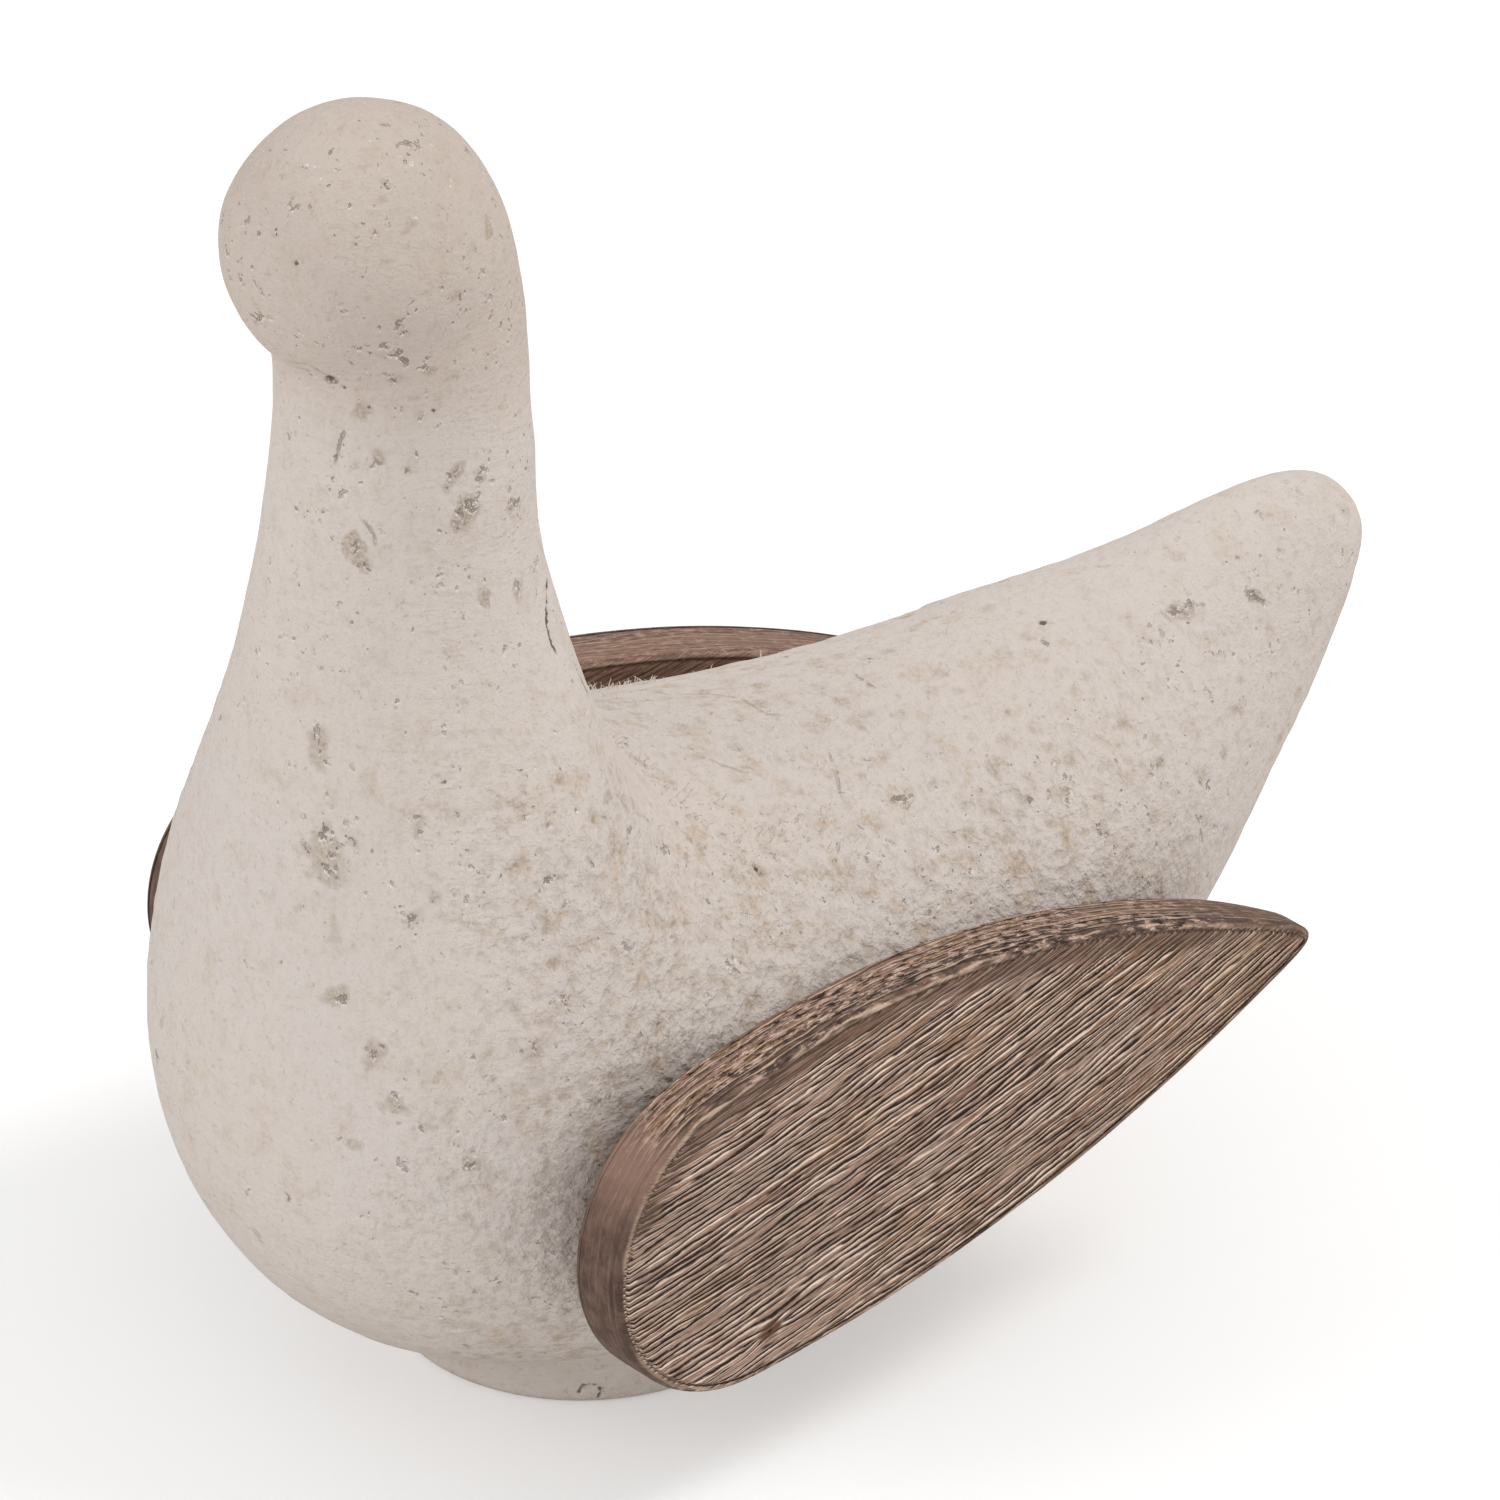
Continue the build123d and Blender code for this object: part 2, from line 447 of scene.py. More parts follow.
for across, down, half_length, half_width, turn, strength in bare_patches:
    place, normal = on_body(across, down)
    level = camera.matrix_world.to_3x3() @ Vector((1, 0, 0))
    level = (level - normal * level.dot(normal)).normalized()
    long_way = Matrix.Rotation(math.radians(turn), 3, normal) @ level
    half_length, half_width = 1.2 * half_length * mm, 1.2 * half_width * mm
    bare_patch(place, normal, long_way, half_length, half_width, strength)
print("placed patches:", len(bare_patches))

# %% More patches all round
patch_tries = 900
picker = random.Random(5)
for _ in range(patch_tries):
    number = picker.randrange(len(points))
    place = Vector(points[number])
    normal = Vector(normals[number])
    if place.z < 6 * mm or picker.random() > 0.35 + 0.65 * peel[number]:
        continue
    around = normal.orthogonal().normalized()
    around = Matrix.Rotation(picker.uniform(0, math.tau), 3, normal) @ around
    half_length = picker.uniform(0.5, 2.0) * mm
    half_width = half_length * picker.uniform(0.4, 0.9)
    bare_patch(place, normal, around, half_length, half_width, picker.uniform(0.1, 0.5))
lift -= bare * (0.07 * mm + 0.15 * mm * fractal(points, 1.6 * mm, 1, 19.0))
print("bare share of the skin:", round(float((bare > 0.3).mean()), 4))

# %% Dimples
# The flanks are full of small soft dents that have turned tan.
dimple_tries = 3600
dimple_depth = 0.2 * mm
dimple = np.zeros(len(points))
picker = random.Random(23)
for _ in range(dimple_tries):
    number = picker.randrange(len(points))
    radius = picker.uniform(0.7, 1.5) * mm
    strength = picker.uniform(0.3, 1.0)
    if picker.random() > handled[number]:
        continue
    for spot, other, distance in point_finder.find_range(points[number], 1.5 * radius):
        cover = 1.2 - (distance / radius) ** 2 + 0.6 * noise.noise(spot / (1.1 * mm))
        dimple[other] = max(dimple[other], strength * min(max(cover, 0), 1))
lift -= dimple_depth * dimple
print("dimpled share of the skin:", round(float((dimple > 0.3).mean()), 4))

# %% Cracks
# Each crack is a line of picture points with a depth in mm. A point near it keeps its signed
# distance, so that the finish can draw a line finer than the quads.
cracks = [
    ([(548, 577), (550, 600), (549, 622), (553, 640), (557, 656)], 0.6),
    ([(573, 655), (580, 675), (590, 697)], 0.3),
    ([(347, 424), (339, 445), (334, 468)], 0.18),
    ([(361, 517), (374, 535), (377, 550)], 0.15),
    ([(285, 360), (310, 366), (332, 381), (352, 385)], 0.12),
    ([(640, 688), (668, 694), (700, 693), (742, 699), (766, 714), (808, 717)], 0.12),
    ([(690, 752), (720, 764), (757, 776)], 0.12),
    ([(826, 748), (836, 772), (842, 800)], 0.14),
    ([(850, 670), (864, 680), (878, 690)], 0.15),
    ([(838, 830), (838, 850), (834, 866)], 0.14),
    ([(1186, 800), (1200, 822), (1204, 850)], 0.15),
    ([(986, 798), (1010, 790), (1042, 788)], 0.1),
]
crack_offset = np.full(len(points), 9.0)
crack_depth = np.zeros(len(points))
for line, depth in cracks:
    feet = [on_body(*spot)[0] for spot in line]
    lengths = [0.0]
    for start, end in zip(feet, feet[1:]):
        lengths.append(lengths[-1] + (end - start).length)
    for number_of_run, (start, end) in enumerate(zip(feet, feet[1:])):
        run = end - start
        middle = (start + end) / 2
        for _, number, _ in point_finder.find_range(middle, run.length / 2 + 4 * mm):
            offset = Vector(points[number]) - start
            share = min(max(offset.dot(run) / run.length_squared, 0), 1)
            away = offset - run * share
            side = 1 if away.dot(run.cross(Vector(normals[number]))) > 0 else -1
            distance = away.length / mm
            if distance < abs(crack_offset[number]):
                along = (lengths[number_of_run] + share * run.length) / lengths[-1]
                crack_offset[number] = side * distance
                fade = min(1, 6 * along, 6 * (1 - along))
                crack_depth[number] = depth * fade * (distance < 2)
lift -= crack_depth * mm * np.exp(-(crack_offset / 0.55) ** 2)
print("points near a crack:", int((crack_depth > 0).sum()))

# %% Pits
# Each row is a small deep hole: picture place and how deep it is, as a share of the deepest.
pits = [
    (330, 380, 1.0),
    (343, 388, 0.7),
    (434, 412, 0.75),
    (296, 263, 0.7),
    (406, 471, 0.75),
    (369, 407, 0.7),
    (1043, 622, 1.0),
    (757, 869, 0.9),
    (1255, 597, 0.8),
    (444, 783, 0.8),
    (280, 963, 0.7),
]
pit_radius = 1.15 * mm
pit_depth = 0.45 * mm
pit = np.zeros(len(points))
for across, down, share in pits:
    place, _ = on_body(across, down)
    for _, number, distance in point_finder.find_range(place, pit_radius):
        pit[number] = max(pit[number], share * (1 - distance / pit_radius))
lift -= pit_depth * pit
print("points in a pit:", int((pit > 0).sum()))

# %% Soot with painted shade, and a loose layer
# Dirt has gathered in front of each wing's round end, in the corner where the board meets the body,
# and that corner is painted darker, for the soot and as painted shade. The wing's own frame gives
# the distance to that round end: back along the board, up, and inwards from its inner face. On the
# back, one layer of pulp ends in a low step.
wing_toe = math.radians(6.4)
wing_seat = 47.0 * mm
nose_centre = Vector((-12.0, 44.8))
nose_radius = 24.2
right_wing_lift = 3.0
out_from_middle = np.abs(points[:, 0]) - wing_seat
back_along = points[:, 1] * math.cos(wing_toe) - out_from_middle * math.sin(wing_toe)
inwards = -(points[:, 1] * math.sin(wing_toe) + out_from_middle * math.cos(wing_toe))
wing_lift = np.where(points[:, 0] > 0, 0.0, right_wing_lift)
above_nose = points[:, 2] / mm - wing_lift - nose_centre.y
ahead_of_wing = np.hypot(back_along / mm - nose_centre.x, above_nose) - nose_radius
soot_and_shade = ease(-ahead_of_wing, -7, 1) * ease(-back_along, -2 * mm, 22 * mm)
soot_and_shade *= ease(-inwards, -14 * mm, -3 * mm)
step_place, _ = on_body(947, 604)
behind_step = points[:, 1] - step_place.y + 0.9 * mm * fractal(points, 5 * mm, 2, 31.0)
layer = ease(behind_step, 0, 0.7 * mm) * np.exp(-(behind_step / (16 * mm)) ** 2)
layer *= ease(-np.linalg.norm(points - np.array(step_place), axis=1), -20 * mm, -9 * mm)
layer_height = 0.4 * mm
lift += layer_height * layer
print("points with soot:", int((soot_and_shade > 0.2).sum()))

# %% Room for the wings
# Behind a wing the skin stays just clear of the board, as a glue line does.
near_wing = 0.27 * mm
glue_line = 0.12 * mm
lift = np.where(inwards < near_wing, -glue_line, lift)
points += normals * lift[:, None]
body_mesh.vertices.foreach_set("co", points.astype(np.float32).ravel())
print("skin moved by", round(float(lift.min() / mm), 2), "to", round(float(lift.max() / mm), 2), "mm")


# %% What the points remember
def keep(mesh, name, values):
    """Stores one number for each point of a mesh."""
    held = mesh.attributes.new(name, "FLOAT", "POINT")
    held.data.foreach_set("value", np.asarray(values, np.float32))


remembered = {"bare": bare, "peel": peel, "dimple": dimple, "pit": pit, "soot_and_shade": soot_and_shade,
              "rubbed": neck_and_head, "handled": handled,
              "crack_offset": np.clip(crack_offset, -9, 9), "crack_depth": crack_depth}
for name, values in remembered.items():
    keep(body_mesh, name, values)
body_mesh.shade_smooth()
body_mesh.update()
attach(body, "root")
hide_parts("body_left_half", "body_right_half")
print("held by each point:", ", ".join(remembered))

# %% [markdown]
# ## Chalk on pulp
# The coat is a matte greige that changes a little from place to place: rosy grey where it is
# thick, tan where hands have rubbed it. Fine scratches and flecks are scattered over it. The bare
# patches, dimples, cracks and pits come from what the points remember, so colour and shape agree.
# Some colour is painted light: painted shade in the hollows of the lumps and the fine relief and in
# front of each wing, and painted highlights on the fine relief and beside each mark.

# %% Pulp finish
pulp, wire, shader = new_finish("chalk_on_pulp")
place = wire.make("ShaderNodeTexCoord", {}, {}, "Object")
peel_held = wire.held("peel")
bare_held = wire.held("bare")
lumps = wire.cloud(place, 1.9 * mm, 3.0, 0.5)
grit = wire.cloud(place, 0.55 * mm, 2.0, 0.6)

drift = wire.cloud(place, 34 * mm, 3.0)
coat = wire.mixed(drift.rise(0.35, 0.65), colour(216, 206, 199), colour(217, 206, 197))
rubbed_held = wire.held("rubbed")
height = wire.part(place, "Z")
coat = coat.painted(height.rise(150 * mm, 172 * mm) * 0.85, 203, 189, 178)
# The hollows between the lumps are painted darker, as painted shade, most of all on the flanks.
dents = lumps.rise(0.5, 0.3) * (0.05 + 0.32 * peel_held)
coat = coat.painted(dents, 180, 166, 152)
handled_held = wire.held("handled")
crisp = wire.cloud(place, 0.9 * mm, 4.0, 0.65)
tan = wire.cloud(place, 5.0 * mm, 6.0, 0.68).rise(0.5, 0.66) * (0.3 + 0.42 * handled_held)
coat = coat.painted(tan * (0.35 + 0.65 * crisp.rise(0.4, 0.6)), 192, 166, 139)
smudges = wire.cloud(place, 3.4 * mm, 4.0, 0.62).rise(0.57, 0.7) * (0.12 + 0.24 * handled_held)
smudges = smudges + wire.held("dimple") * 0.55
coat = coat.painted(smudges * (0.3 + 0.7 * crisp.rise(0.38, 0.58)), 165, 142, 117)
faint = wire.cloud(wire.stretched(place, (0.6, 0.6, 1.3)), 0.85 * mm, 4.0, 0.66)
# Painted shade where the fine relief sinks and a painted highlight where it rises.
coat = coat.painted(faint.rise(0.56, 0.72) * 0.16, 150, 134, 119)
coat = coat.painted(faint.rise(0.42, 0.26) * 0.22, 226, 218, 211)
brushed = wire.cloud(wire.stretched(place, (0.1, 0.1, 1.0)), 1.2 * mm, 3.0, 0.6)
coat = coat.painted(brushed.rise(0.55, 0.75) * rubbed_held * 0.25, 190, 178, 170)
print("coat nodes:", len(pulp.node_tree.nodes))


# %% Bare pulp, flecks and cracks
def marks(where):
    """Scratches and flecks in the coat at a place: short ragged lines, closer where it is bare."""
    lines = (wire.cloud(where, 1.6 * mm, 3.0, 0.62) - 0.5).size().rise(0.075, 0.02)
    gathered = wire.cloud(where, 15 * mm, 2.0) - 0.5
    gate = wire.cloud(where, 2.4 * mm, 3.0, 0.6) + 0.2 * bare_held + 0.22 * gathered
    scratches = lines * gate.rise(0.63, 0.75)
    dots = wire.cloud(where, 1.15 * mm, 2.0, 0.5) + 0.1 * gathered
    return wire.math("MAXIMUM", scratches, dots.rise(0.72, 0.78))


rough_part = wire.math("MAXIMUM", rubbed_held, peel_held.rise(0.2, 0.5))
mark_share = 0.3 + 0.7 * wire.math("MAXIMUM", rough_part, bare_held.rise(0.0, 0.3))
mark = marks(place) * mark_share
# A pale copy of each mark, moved up a little, is a painted highlight on the mark's upper edge.
mark_highlight = marks(wire.moved(place, (0, 0, 0.45 * mm))) * (1 - mark) * mark_share
ragged = wire.cloud(place, 1.1 * mm, 5.0, 0.72)
bare_mask = (bare_held + 1.3 * (ragged - 0.5)).rise(0.1, 0.75) * bare_held.rise(0.0, 0.5)
bare_colour = wire.mixed(grit.rise(0.4, 0.62), colour(150, 128, 106), colour(198, 182, 163))
coat = wire.mixed(bare_mask * 0.58, coat, bare_colour)
# Painted highlight beside each scratch and fleck.
coat = coat.painted(mark_highlight * 0.8, 236, 229, 222)
depth = wire.cloud(place, 9 * mm, 2.0).rise(0.35, 0.68)
coat = coat.painted(mark * (0.14 + 0.32 * depth * depth), 128, 104, 82)
# In front of each wing's round end the coat turns grey: soot, and painted shade in that corner.
soot_and_shade_mask = (wire.held("soot_and_shade") + 3.0 * (crisp - 0.5)).rise(0.25, 0.7)
coat = coat.painted(soot_and_shade_mask * 0.27, 122, 110, 100)
broken = wire.cloud(place, 1.8 * mm, 3.0).rise(0.36, 0.52)
crack_line = wire.held("crack_offset").size() + 0.9 * ragged
crack_held = wire.held("crack_depth")
deep = crack_held.rise(0.2, 0.4)
crack_mask = crack_line.rise(0.8, 0.45) * crack_held.rise(0.02, 0.3)
crack_mask = crack_mask * wire.math("MAXIMUM", broken, deep)
crack_colour = wire.mixed(deep, colour(160, 141, 123), colour(66, 55, 45))
coat = wire.mixed(crack_mask * 0.85, coat, crack_colour)
pit_mask = (wire.held("pit") + 0.6 * (ragged - 0.5)).rise(0.38, 0.58)
coat = coat.painted(pit_mask * 0.8, 76, 62, 50)
feed(coat, shader, "Base Color")
same_all_over(shader, 0.92, 0.25)
print("with all marks:", len(pulp.node_tree.nodes), "nodes")

# %% Relief of the pulp
relief = lumps * (0.3 + 0.8 * peel_held + 0.3 * handled_held) + 0.14 * grit - 0.26 * faint
relief = relief + 0.1 * brushed * rubbed_held
relief = relief - 0.14 * bare_mask - 0.4 * mark - 0.5 * crack_mask
bump = wire.make("ShaderNodeBump", {}, {"Height": relief, "Distance": mm, "Strength": 1.0})
feed(bump, shader, "Normal")
body_mesh.materials.clear()
body_mesh.materials.append(pulp)
print("pulp nodes:", len(pulp.node_tree.nodes))

# %% [markdown]
# ## Fibres
# Paper pulp ends in hairs. Along the saddle and here and there on the back, loose fibres stand up
# from the skin and catch the light. Hair particles could do this, but each fibre here is a thin
# closed tube, so that it is a real shape like the rest. Most of them go where the picture sees the
# skin edge on, and on the same place of the other side.

# %% Shape of a fibre
fibres = bmesh.new()


def add_fibre(start, way, curl, length, radius):
    """A thin bent tube that starts under the skin and tapers to its end."""
    rings = []
    for share in (0.0, 0.35, 0.7, 1.0):
        centre = start + way * (length * share - 0.15 * mm) + curl * length * 0.6 * share * share
        along = (way + curl * 1.2 * share).normalized()
        first = along.orthogonal().normalized()
        second = along.cross(first)
        thick = radius * (1 - 0.6 * share)
        ring = [centre + thick * (first * math.cos(t) + second * math.sin(t))
                for t in (0.0, math.tau / 4, math.tau / 2, 3 * math.tau / 4)]
        rings.append([fibres.verts.new(spot) for spot in ring])
    for lower, upper in zip(rings, rings[1:]):
        for side in range(4):
            fibres.faces.new((lower[side], lower[side - 3], upper[side - 3], upper[side]))
    fibres.faces.new(rings[-1])
    fibres.faces.new(reversed(rings[0]))


def mesh_from(shape, name):
    """The mesh of a finished bmesh, with its faces turned outwards."""
    bmesh.ops.recalc_face_normals(shape, faces=shape.faces)
    mesh = bpy.data.meshes.new(name)
    shape.to_mesh(mesh)
    shape.free()
    return mesh


# %% Scatter the fibres
fibres_wanted = 620
clear_of_wing = 3 * mm
picker = random.Random(11)
saddle = [n for n in range(len(points)) if -4 * mm < points[n, 1] < 70 * mm and normals[n, 2] > 0.25]
side_view = Vector((abs(towards_camera.x), towards_camera.y, towards_camera.z))
fibre_count = 0
while fibre_count < fibres_wanted:
    number = picker.choice(saddle)
    normal = Vector(normals[number])
    on_ridge = abs(Vector((-abs(normal.x), normal.y, normal.z)).dot(side_view)) < 0.12
    if picker.random() > (1.0 if on_ridge and points[number, 1] < 30 * mm else 0.05):
        continue
    if inwards[number] < clear_of_wing:
        continue
    lean = Vector((picker.uniform(-1, 1), picker.uniform(-1, 1), picker.uniform(-0.3, 1)))
    curl = Vector((picker.uniform(-1, 1), picker.uniform(-1, 1), picker.uniform(-1, 0.3)))
    way = (normal + 0.8 * lean).normalized()
    length = picker.uniform(0.5, 1.7) * mm
    add_fibre(Vector(points[number]), way, curl, length, picker.uniform(0.06, 0.11) * mm)
    fibre_count += 1
fibre_mesh = mesh_from(fibres, "pulp_fibres")
fibre_piece = new_object("pulp_fibres", fibre_mesh)
fibre_finish, wire, shader = new_finish("pulp_fibre")
place = wire.make("ShaderNodeTexCoord", {}, {}, "Object")
drift = wire.cloud(place, 3 * mm).rise(0.35, 0.65)
feed(wire.mixed(drift, colour(206, 194, 182), colour(224, 216, 207)), shader, "Base Color")
same_all_over(shader, 0.9)
fibre_mesh.materials.append(fibre_finish)
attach(fibre_piece, "root")
print("fibres:", fibre_count)

# %% [markdown]
# ## Foot
# The foot is a low disc of the same pulp that closes the body from below. It was turned or cut
# round, so it is a lathe shape: a profile of a few points spun about the upright axis, with a
# soft lower edge. Its rim flares out until it meets the body's lumpy skin, which a plain lathe
# can't do, so the height of the skin is measured all round first. Lumps and a chipped line on the
# rim keep it from looking machined.

# %% Foot disc
foot_radius = 28.0
rim_start = 1.1
flare_width = 1.0
hidden_top = 8.2
turns = 420
skin_tree = tree_of(body_mesh)


def underside(radius, angle):
    """The height of the body's skin above the table, straight up from a point."""
    start = Vector((radius * math.cos(angle), radius * math.sin(angle), -5)) * mm
    return skin_tree.ray_cast(start, Vector((0, 0, 1)))[0].z / mm


foot = bmesh.new()
rings = [[foot.verts.new((0, 0, 0.4 * mm))]]
flat_part = [(10.0, 0.4), (20.0, 0.2), (26.0, 0.0), (27.0, 0.1), (27.7, 0.4), (foot_radius, rim_start)]
joint_heights = [underside(foot_radius + flare_width, math.tau * turn / turns) for turn in range(turns)]
for radius, height in flat_part:
    rings.append([(radius, height)] * turns)
for share in np.linspace(0.12, 1.0, 12):
    flare = flare_width * ease(share, 0.45, 1.0) ** 2
    rings.append([(foot_radius + flare, rim_start + (top - rim_start) * share + 0.1 * flare)
                  for top in joint_heights])
rings += [[(27.5, hidden_top)] * turns, [(15.0, hidden_top)] * turns]
rings.append([foot.verts.new((0, 0, hidden_top * mm))])
for number, ring in enumerate(rings):
    if len(ring) == 1:
        continue
    made = []
    for turn, (radius, height) in enumerate(ring):
        angle = math.tau * turn / turns
        spot = Vector((radius * math.cos(angle), radius * math.sin(angle), height)) * mm
        if 27.9 < radius < 28.8 and height > 1.2:
            spot.xy *= 1 + 0.007 * noise.fractal(spot / (4 * mm), 1.0, 2.0, 3) - 0.002
        made.append(foot.verts.new(spot))
    rings[number] = made
for lower, upper in zip(rings, rings[1:]):
    for turn in range(turns):
        after = (turn + 1) % turns
        if len(lower) == 1:
            foot.faces.new((lower[0], upper[after], upper[turn]))
        elif len(upper) == 1:
            foot.faces.new((lower[turn], lower[after], upper[0]))
        else:
            foot.faces.new((lower[turn], lower[after], upper[after], upper[turn]))
foot_mesh = mesh_from(foot, "foot_skin")
foot_mesh.shade_smooth()
print("foot:", len(foot_mesh.vertices), "points")

# %% Chip on the rim
# A flake of the coat has come loose in front. It is a bent line of picture points, and the points
# near it remember how far off they are, as they do at a crack in the skin.
chip_line = [(578, 1393), (582, 1385), (592, 1383), (600, 1387), (602, 1393), (598, 1397)]
foot_tree = tree_of(foot_mesh)
chip = [foot_tree.ray_cast(camera.location, ray_through(*spot))[0] for spot in chip_line]
chip_offset = np.full(len(foot_mesh.vertices), 9.0)
for start, end in zip(chip, chip[1:]):
    for vertex in foot_mesh.vertices:
        _, share = geometry.intersect_point_line(vertex.co, start, end)
        near = start.lerp(end, min(max(share, 0), 1))
        chip_offset[vertex.index] = min(chip_offset[vertex.index], (vertex.co - near).length / mm)
keep(foot_mesh, "crack_offset", 1.2 * chip_offset)
keep(foot_mesh, "crack_depth", 0.32 * (chip_offset < 3))
foot_piece = new_object("foot_skin", foot_mesh)
foot_mesh.materials.append(pulp)
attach(foot_piece, "root")
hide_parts("foot_disc")
print("points at the chip:", int((chip_offset < 1).sum()))

# %% [markdown]
# ## Wing boards
# Each wing was sawn from a thin board. A wire brush then took the soft wood out between the hard
# lines of the grain, and thin white paint was dragged over the ridges. Bump alone would leave the
# edges straight, so the grooves are real: the face is a net of points that lie closer across the
# grain than along it, triangulated inside the outline, and each point sinks by the groove there.

# %% Outline of a wing
# Sizes are in mm, back along the board and up. The worn end of the upper edge stands a little
# above the solid's, and its middle lies a little below.
wing_tip = Vector((96.0, 49.6))
wing_thickness = 9.5
nose_top_angle = 76.0
nose_low_angle = 92.0
worn_end_rise = 1.3
upper_edge_dip = 0.4


def nose_point(angle):
    turn = math.radians(angle)
    return nose_centre + nose_radius * Vector((-math.cos(turn), math.sin(turn)))


def arc_to(start, heading, end, count):
    """Points on the arc that leaves start along its heading and reaches the end."""
    chord = end - start
    left = Vector((-heading.y, heading.x))
    centre = start + left * chord.length_squared / (2 * chord.dot(left))
    spoke = start - centre
    turn = -spoke.angle_signed(end - centre)
    return [centre + Matrix.Rotation(turn * step / count, 2) @ spoke for step in range(count)]


def wing_outline(count):
    """The board's outline, evenly spaced and going round to the left, its tip a little worn."""
    high = math.radians(nose_top_angle)
    deep = math.radians(nose_low_angle)
    lower_heading = Vector((math.sin(deep), -math.cos(deep)))
    upper_heading = Vector((math.sin(high), math.cos(high)))
    lower = arc_to(nose_point(-nose_low_angle), lower_heading, wing_tip, 400)
    upper = arc_to(nose_point(nose_top_angle), upper_heading, wing_tip, 400)
    nose_sweep = nose_top_angle + nose_low_angle
    nose = [nose_point(nose_top_angle - nose_sweep * step / 200) for step in range(200)]
    ring = np.array([tuple(p) for p in lower + [wing_tip] + upper[:0:-1] + nose])
    back = ring[:, 0]
    above = np.arange(len(ring)) >= len(lower)
    dip = upper_edge_dip * ease(back, 10, 45) * ease(-back, -84, -60)
    ring[:, 1] += above * (worn_end_rise * ease(back, 76, 95) - dip)
    steps = np.linalg.norm(np.roll(ring, -1, axis=0) - ring, axis=1)
    travelled = np.concatenate([[0], np.cumsum(steps)])
    wanted = np.linspace(0, travelled[-1], count, endpoint=False)
    closed = np.vstack([ring, ring[:1]])
    ring = np.stack([np.interp(wanted, travelled, closed[:, axis]) for axis in (0, 1)], axis=1)
    near_tip = np.linalg.norm(ring - np.array(wing_tip), axis=1) < 5
    for _ in range(90):
        average = (np.roll(ring, 1, axis=0) + np.roll(ring, -1, axis=0)) / 2
        ring[near_tip] = average[near_tip]
    return ring


outline_points = 1280
outline = wing_outline(outline_points)
after = np.roll(outline, -1, axis=0) - np.roll(outline, 1, axis=0)
outward = np.stack([after[:, 1], -after[:, 0]], axis=1)
outward /= np.linalg.norm(outward, axis=1)[:, None]
outline_step = float(np.linalg.norm(outline[1] - outline[0]))
print("wing", np.round(np.ptp(outline, axis=0), 1), "mm")

# %% Grain of a wing
line_pitch = 0.95
layer_pitch = 1.6


def grain_rise(back):
    """How far the grain has climbed at a distance back: it starts flat and steepens to the tip."""
    run = back + 36
    return 0.13 * run + 0.00085 * run * run


def grain_phase(back, across, through, seed):
    """Counts the grain's hard lines across the board: a whole number is the crest of a ridge."""
    wobble = noise.noise(Vector((back / 30, across / 6, through / 6 + seed)))
    ripple = noise.noise(Vector((back / 14, across / 2, seed)))
    return across / line_pitch + through / layer_pitch + 0.8 * wobble + 0.2 * ripple


def brush_depth(phase, back, seed):
    """How deep the brush went, from 0 on a crest to 1, and less where the wood was harder."""
    hardness = noise.noise(Vector((back / 10, 3.7 * round(phase), seed)))
    return (0.5 - 0.5 * math.cos(math.tau * phase)) * min(max(0.6 + 0.8 * hardness, 0.15), 1)


print("the grain climbs", round(grain_rise(wing_tip.x), 1), "mm by the tip")

# %% Points of a board
# A board is built flat on its own plane, in mm: back along it, up, and through it. Every point
# remembers its place in the grain, and the grain swerves round a knot. The inner corner of the
# pointed end is worn away.
tip_wear = 0.5


def new_board(seed, knot, edge_fray):
    """An empty board. The knot is a place on its face."""
    shape = bmesh.new()
    layers = shape.verts.layers
    held = {name: layers.float_vector.new(name) for name in ("grain", "edge_place")}
    held |= {name: layers.float.new(name) for name in ("phase", "rim", "fray", "worn", "knot")}
    return SimpleNamespace(shape=shape, held=held, seed=seed, knot=knot, edge_fray=edge_fray)


def add_point(board, back, up, through):
    across = up - grain_rise(back)
    through += (wing_thickness - through) * tip_wear * ease(back, 78, 97)
    vertex = board.shape.verts.new((back, up, through))
    vertex[board.held["grain"]] = (back, across, through)
    off_knot = across - board.knot.y + grain_rise(board.knot.x)
    from_knot = math.hypot((back - board.knot.x) / 1.5, off_knot)
    vertex[board.held["knot"]] = from_knot
    swerve = 0.8 * math.exp(-(from_knot / 2.2) ** 2) * math.copysign(1, off_knot)
    vertex[board.held["phase"]] = grain_phase(back, across, through, board.seed) + swerve
    return vertex


print("the inner corner of the tip is worn back to", wing_thickness * tip_wear, "mm")

# %% Rim of a board
# The edge is a stack of rings, from the outer face round the rim to the inner face. Behind the
# round front end it is frayed, and along the top it is worn.
edge_round = 1.3
wall_step = 0.4
bend = [(edge_round * (1 - math.sin(t)), edge_round * (1 - math.cos(t)))
        for t in np.linspace(0, math.pi / 2, 6)]
walls = np.arange(wing_thickness - edge_round - wall_step, edge_round, -wall_step)
levels = [(inset, wing_thickness - drop) for inset, drop in reversed(bend)]
levels += [(0.0, height) for height in walls] + bend


def add_ring(board, inset, through):
    ring = []
    flat = inset / edge_round
    for number, ((back, up), (right, rise)) in enumerate(zip(outline, outward)):
        to_tip = ease(back, 64, 86)
        fray = board.edge_fray * (1 - ease(-right, 0.35, 0.75)) * (1 - 0.8 * to_tip)
        lines = noise.noise(Vector((number * outline_step / 15, through / 0.8, board.seed)))
        sink = 0.2 * max(lines, 0) * fray * (1 - flat)
        vertex = add_point(board, back - right * (inset + sink), up - rise * (inset + sink), through)
        vertex[board.held["edge_place"]] = (number * outline_step, through, inset)
        vertex[board.held["rim"]] = 1 - flat
        vertex[board.held["fray"]] = fray
        vertex[board.held["worn"]] = ease(rise, 0.1, 0.7) * (1 - 0.5 * to_tip)
        ring.append(vertex)
    return ring


